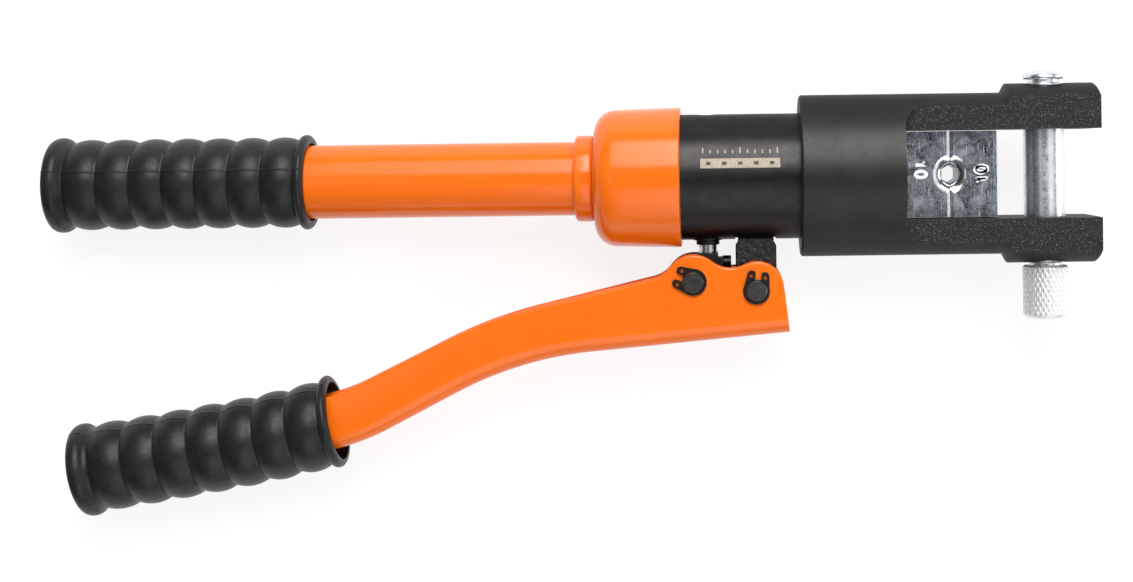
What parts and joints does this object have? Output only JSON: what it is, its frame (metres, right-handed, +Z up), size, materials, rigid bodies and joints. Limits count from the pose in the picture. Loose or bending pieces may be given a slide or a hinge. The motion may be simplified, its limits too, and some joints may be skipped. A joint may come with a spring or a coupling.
{
  "type": "hydraulic hand crimping tool",
  "caption": "Hydraulic hand crimper with a fork head, sliding die pair, knurled lock pin, ribbed fixed handle and pressed-steel pump lever.",
  "frame": {"origin": "crimp centre: the middle of the hexagon between the closed dies, on the ram axis", "axes": "+X along the ram axis towards the lock pin and the fork tips, +Y from the pump lever towards the fixed handle, +Z up, parallel to the lever pins, with the tool lying on its side"},
  "size_m": [0.4146, 0.1728, 0.0644],
  "materials": {
    "orange_paint": "gloss orange powder coat",
    "black_coat": "fine textured black coat",
    "black_oxide": "satin black oxide",
    "grip_rubber": "matte moulded rubber",
    "seal_rubber": "smooth seal rubber",
    "zinc_plate": "bright zinc plate",
    "bright_steel": "ground steel",
    "plug_plastic": "moulded plastic"
  },
  "bodies": {
    "tool_body": {"head_yoke": "black_coat", "ram_scraper": "seal_rubber", "cylinder_body": "black_oxide", "reservoir_cup": "orange_paint", "handle_collar": "orange_paint", "handle_tube": "orange_paint", "oil_bladder": "seal_rubber", "bladder_clamp": "bright_steel", "tube_end_plug": "plug_plastic", "fixed_grip": "grip_rubber", "pivot_block": "black_oxide", "plunger_gland": "black_oxide", "plunger_seal": "seal_rubber", "inlet_seat": "bright_steel", "inlet_ball": "bright_steel", "inlet_spring": "bright_steel", "outlet_ball": "bright_steel", "outlet_spring": "bright_steel", "outlet_retainer": "bright_steel", "relief_cone": "bright_steel", "relief_spring": "bright_steel", "relief_screw": "bright_steel", "release_spring": "bright_steel", "release_plug": "black_oxide", "ram_return_spring": "bright_steel"},
    "ram_assembly": {"ram": "bright_steel", "piston_seal": "seal_rubber", "lower_die": "zinc_plate", "die_ring": "seal_rubber"},
    "sliding_die": {"upper_die": "zinc_plate"},
    "pin_assembly": {"lock_pin": "zinc_plate", "lock_pin_knob": "zinc_plate"},
    "lever_assembly": {"lever_arm": "orange_paint", "lever_grip": "grip_rubber", "pivot_pin": "black_oxide", "plunger_pin": "black_oxide", "circlips": "black_oxide"},
    "plunger_assembly": {"pump_plunger": "bright_steel", "plunger_head": "black_oxide", "head_clamp_screw": "black_oxide"},
    "release_assembly": {"release_pin": "bright_steel", "release_ball": "bright_steel"}
  },
  "joints": [
    {"name": "lever_pivot", "type": "hinge", "parent": "tool_body", "child": "lever_assembly", "pos_m": [-0.0769, -0.0448, 0], "axis": [0, 0, 1], "range_deg": [-4.5, 20]},
    {"name": "plunger_slide", "type": "slide", "parent": "tool_body", "child": "plunger_assembly", "axis": [0, 1, 0], "range_m": [-0.0089, 0.0021]},
    {"name": "ram_slide", "type": "slide", "parent": "tool_body", "child": "ram_assembly", "axis": [1, 0, 0], "range_m": [0, 0.0144], "deforming": ["ram_return_spring"]},
    {"name": "upper_die_slide", "type": "slide", "parent": "tool_body", "child": "sliding_die", "axis": [1, 0, 0], "range_m": [0, 0.0144]},
    {"name": "lock_pin_slide", "type": "slide", "parent": "tool_body", "child": "pin_assembly", "axis": [0, -1, 0], "range_m": [0, 0.0585]},
    {"name": "release_valve", "type": "slide", "parent": "tool_body", "child": "release_assembly", "axis": [0, 1, 0], "range_m": [0, 0.0015], "stiffness_N_per_m": 400, "springref_m": -0.003, "deforming": ["release_spring"]}
  ],
  "couplings": [
    {"joint": "plunger_slide", "follows": "lever_pivot", "m_per_rad": -0.0251},
    {"joint": "upper_die_slide", "follows": "ram_slide", "ratio": 1}
  ]
}
